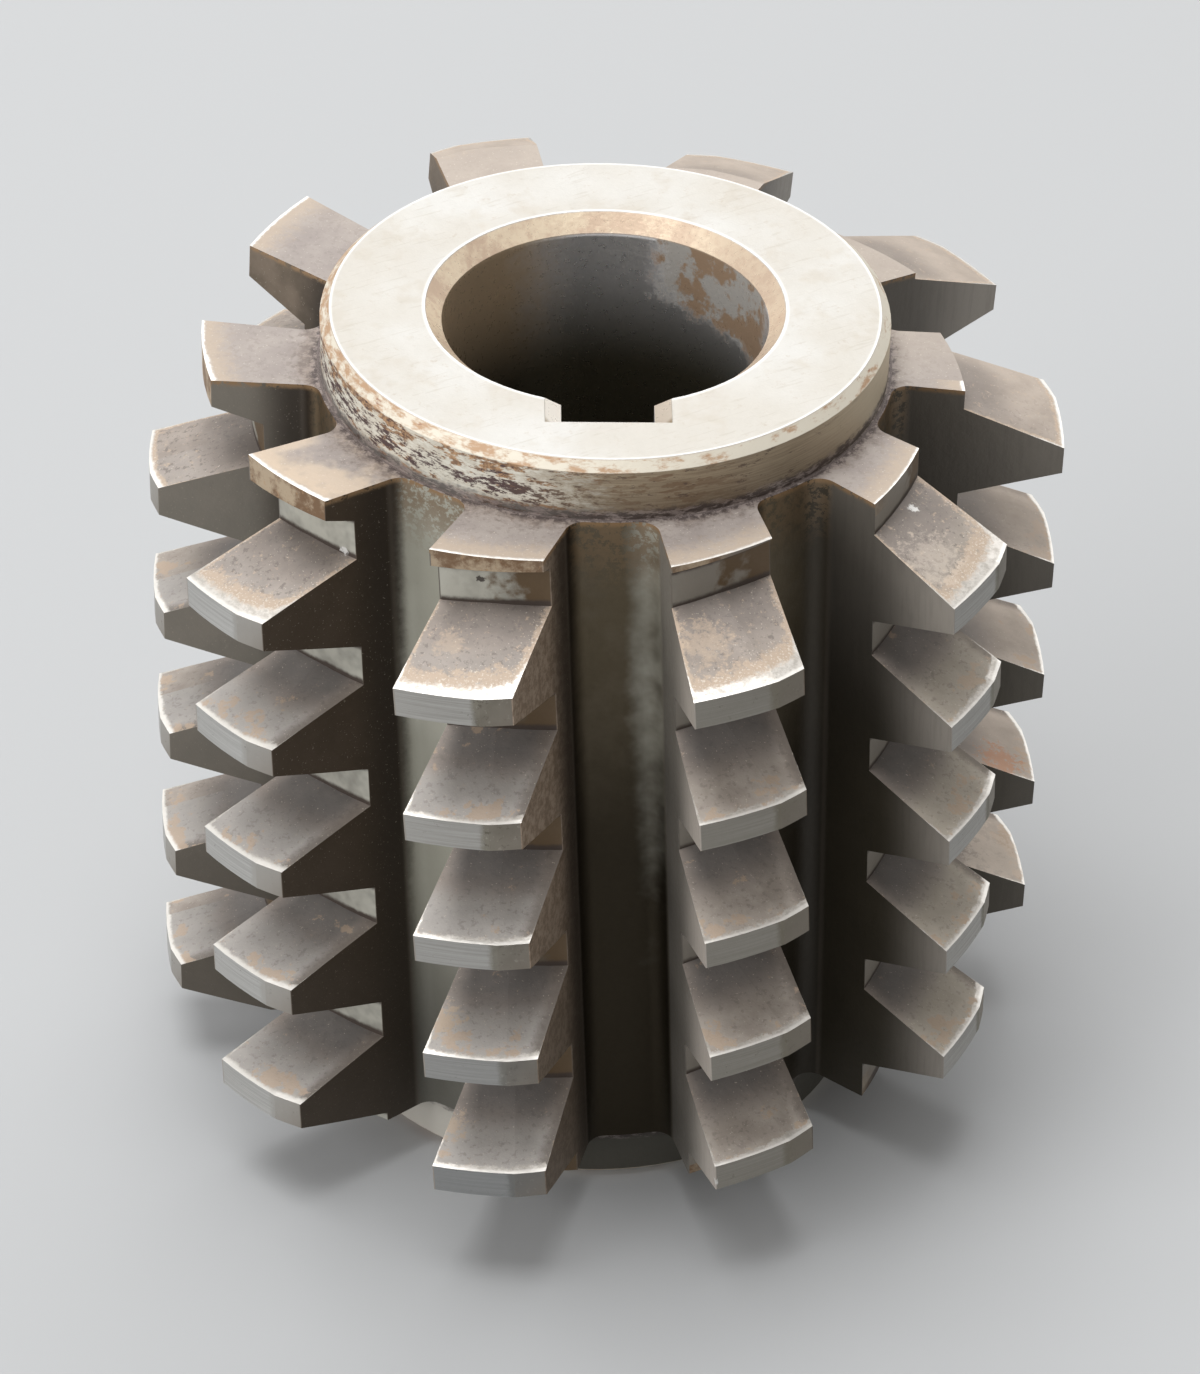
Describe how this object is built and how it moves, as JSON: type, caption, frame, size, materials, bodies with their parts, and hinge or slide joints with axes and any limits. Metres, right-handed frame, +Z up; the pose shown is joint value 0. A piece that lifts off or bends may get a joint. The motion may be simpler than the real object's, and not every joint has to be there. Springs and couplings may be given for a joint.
{
  "type": "gear hob",
  "caption": "Gear hob: a bored steel cylinder with a keyway, whose right-hand thread of rack teeth is cut by lengthwise gashes into rows of relieved cutting teeth.",
  "frame": {"origin": "centre of the lower hub face, on the axis of the bore", "axes": "+Z up along the bore, the keyway opens towards -Y, and the hob stands on its lower hub face"},
  "size_m": [0.0625, 0.0617, 0.061],
  "materials": {
    "steel": "ground high speed steel, worn bright at the cutting edges and stained brown between the teeth"
  },
  "bodies": {
    "root": {"gear_hob": "steel"}
  },
  "joints": []
}
